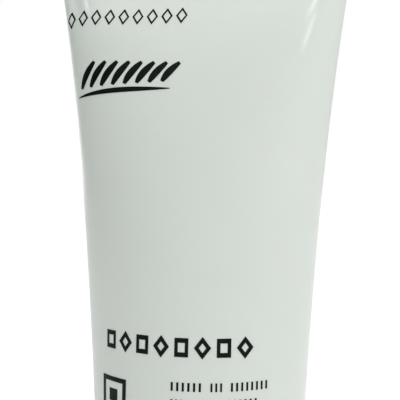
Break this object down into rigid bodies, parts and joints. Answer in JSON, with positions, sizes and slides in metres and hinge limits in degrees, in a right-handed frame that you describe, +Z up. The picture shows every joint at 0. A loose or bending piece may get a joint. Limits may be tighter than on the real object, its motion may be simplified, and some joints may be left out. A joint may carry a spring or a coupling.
{
  "type": "paint tube",
  "caption": "Soft plastic paint tube with a round shoulder, a flat sealed crimp and a fluted screw cap that it stands on.",
  "frame": {"origin": "centre of the cap's flat end, which the tube stands on", "axes": "+Z up from the cap to the crimp, +X along the crimp, -Y out of the printed front"},
  "size_m": [0.0592, 0.038, 0.1435],
  "materials": {
    "sleeve_plastic": "satin translucent white polyethylene",
    "head_plastic": "moulded natural white polyethylene",
    "cap_plastic": "moulded black polypropylene, satin",
    "liner_foam": "expanded polyethylene foam",
    "foil": "heat-sealed aluminium foil",
    "paint": "wet white acrylic paint",
    "print_ink": "screen-printed black ink"
  },
  "bodies": {
    "cap": {"screw_cap": "cap_plastic"},
    "liner": {"cap_liner": "liner_foam"},
    "tube": {"tube_sleeve": "sleeve_plastic", "tube_head": "head_plastic", "paint_fill": "paint", "foil_membrane": "foil"}
  },
  "joints": [
    {"name": "unscrew_turn", "type": "hinge", "parent": "cap", "child": "liner", "pos_m": [0, 0, 0], "axis": [0, 0, 1], "range_deg": [0, 900]},
    {"name": "unscrew_lift", "type": "slide", "parent": "liner", "child": "tube", "axis": [0, 0, 1], "range_m": [0, 0.0075]}
  ],
  "couplings": [
    {"joint": "unscrew_lift", "follows": "unscrew_turn", "m_per_rad": 0.00047746}
  ]
}
